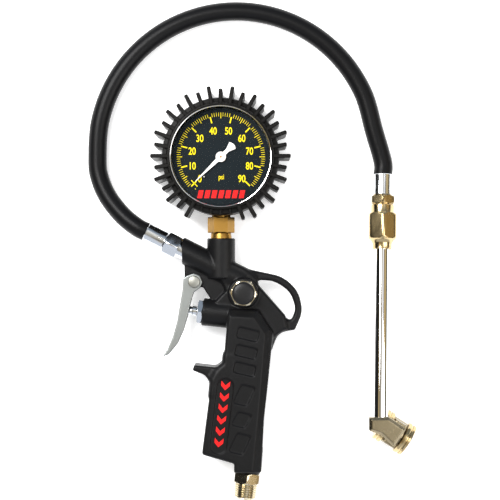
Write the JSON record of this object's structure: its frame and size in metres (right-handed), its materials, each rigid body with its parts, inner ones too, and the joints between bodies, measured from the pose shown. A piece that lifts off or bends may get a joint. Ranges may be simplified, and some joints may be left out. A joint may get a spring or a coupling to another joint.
{
  "type": "tyre inflator",
  "caption": "Trigger-operated tyre inflator with a rubber-booted dial gauge, short hose and a straight extension tube ending in a twin-mouth chuck.",
  "frame": {"origin": "centre of the bounding box of the gun and gauge, on the surface they lie on", "axes": "+Z out of the dial, +Y from the air inlet to the gauge, +X towards the hanging loop"},
  "size_m": [0.198, 0.2995, 0.036],
  "materials": {
    "body_coat": "fine-textured satin black powder coat",
    "nickel": "bright nickel plate",
    "lever": "satin",
    "pin_steel": "satin",
    "zinc": "bright zinc plate",
    "seal_rubber": "matte",
    "spring_steel": "plain",
    "button_plastic": "satin",
    "brass": "turned",
    "case_steel": "black",
    "bezel_chrome": "bright",
    "lens": "clear",
    "boot_rubber": "satin moulded",
    "dial_paint": "near-black with yellow scale",
    "pointer_paint": "white",
    "hose_rubber": "satin with faint braid",
    "tube_chrome": "bright chrome plate"
  },
  "bodies": {
    "gun": {"gun_body": "body_coat", "inlet_fitting": "nickel", "trigger_pin": "pin_steel", "trigger_pin_clip": "pin_steel", "valve_gland_nut": "zinc", "valve_stem_o_ring": "seal_rubber", "valve_spring": "spring_steel", "deflate_bushing": "nickel", "deflate_spring": "spring_steel", "gauge_socket": "brass", "gauge_case": "case_steel", "gauge_bezel": "bezel_chrome", "gauge_lens": "lens", "gauge_boot": "boot_rubber", "gauge_dial": "dial_paint", "pointer_stop_pin": "brass", "movement_bottom_plate": "brass", "movement_top_plate": "brass", "movement_pillar_upper": "brass", "movement_pillar_lower": "brass", "hairspring": "brass", "bourdon_tube": "brass", "hose": "hose_rubber", "ferrule_gun": "zinc", "hose_insert_gun": "zinc", "ferrule_chuck": "zinc", "hose_insert_chuck": "nickel", "extension_coupling": "nickel", "extension_tube": "tube_chrome", "chuck_body": "nickel", "chuck_cap_front": "nickel", "chuck_cap_rear": "nickel", "chuck_seal_front": "seal_rubber", "chuck_seal_rear": "seal_rubber", "chuck_spring_front": "spring_steel", "chuck_spring_rear": "spring_steel"},
    "trigger": {"trigger": "lever"},
    "valve": {"valve_stem": "zinc", "valve_disc": "seal_rubber"},
    "release_button": {"deflate_button": "button_plastic", "deflate_spindle": "brass", "deflate_seal": "seal_rubber"},
    "sector": {"sector_gear": "brass"},
    "link": {"tip_link": "brass"},
    "pointer_arbor": {"pinion_arbor": "brass", "pointer": "pointer_paint"},
    "poppet_front": {"chuck_poppet_front": "brass"},
    "poppet_rear": {"chuck_poppet_rear": "brass"}
  },
  "joints": [
    {"name": "trigger_pull", "type": "hinge", "parent": "gun", "child": "trigger", "pos_m": [-0.0196, 0.0074, 0.0135], "axis": [0, 0, 1], "range_deg": [0, 10], "stiffness_Nm_per_rad": 0.4},
    {"name": "valve_push", "type": "slide", "parent": "gun", "child": "valve", "axis": [0.9945, -0.1045, 0], "range_m": [0, 0.003], "deforming": ["valve_spring"]},
    {"name": "release_press", "type": "slide", "parent": "gun", "child": "release_button", "axis": [0, 0, -1], "range_m": [0, 0.0023], "stiffness_N_per_m": 600, "deforming": ["deflate_spring"]},
    {"name": "sector_turn", "type": "hinge", "parent": "gun", "child": "sector", "pos_m": [-0.0035, 0.0663, 0.0135], "axis": [0, 0, 1], "range_deg": [0, 36], "stiffness_Nm_per_rad": 0.002, "deforming": ["bourdon_tube"]},
    {"name": "pointer_turn", "type": "hinge", "parent": "gun", "child": "pointer_arbor", "pos_m": [-0.0035, 0.0816, 0.0135], "axis": [0, 0, 1], "range_deg": [-270, 0], "deforming": ["hairspring"]},
    {"name": "link_swing", "type": "hinge", "parent": "sector", "child": "link", "pos_m": [0.00264, 0.06416, 0.0135], "axis": [0, 0, 1], "range_deg": [-36, 0]},
    {"name": "poppet_front_push", "type": "slide", "parent": "gun", "child": "poppet_front", "axis": [-0.848, 0.5299, 0], "range_m": [0, 0.002], "stiffness_N_per_m": 400, "deforming": ["chuck_spring_front"]},
    {"name": "poppet_rear_push", "type": "slide", "parent": "gun", "child": "poppet_rear", "axis": [0.848, -0.5299, 0], "range_m": [0, 0.002], "stiffness_N_per_m": 400, "deforming": ["chuck_spring_rear"]}
  ],
  "couplings": [
    {"joint": "valve_push", "follows": "trigger_pull", "m_per_rad": 0.0168},
    {"joint": "pointer_turn", "follows": "sector_turn", "ratio": -7.5},
    {"joint": "link_swing", "follows": "sector_turn", "ratio": -1}
  ]
}
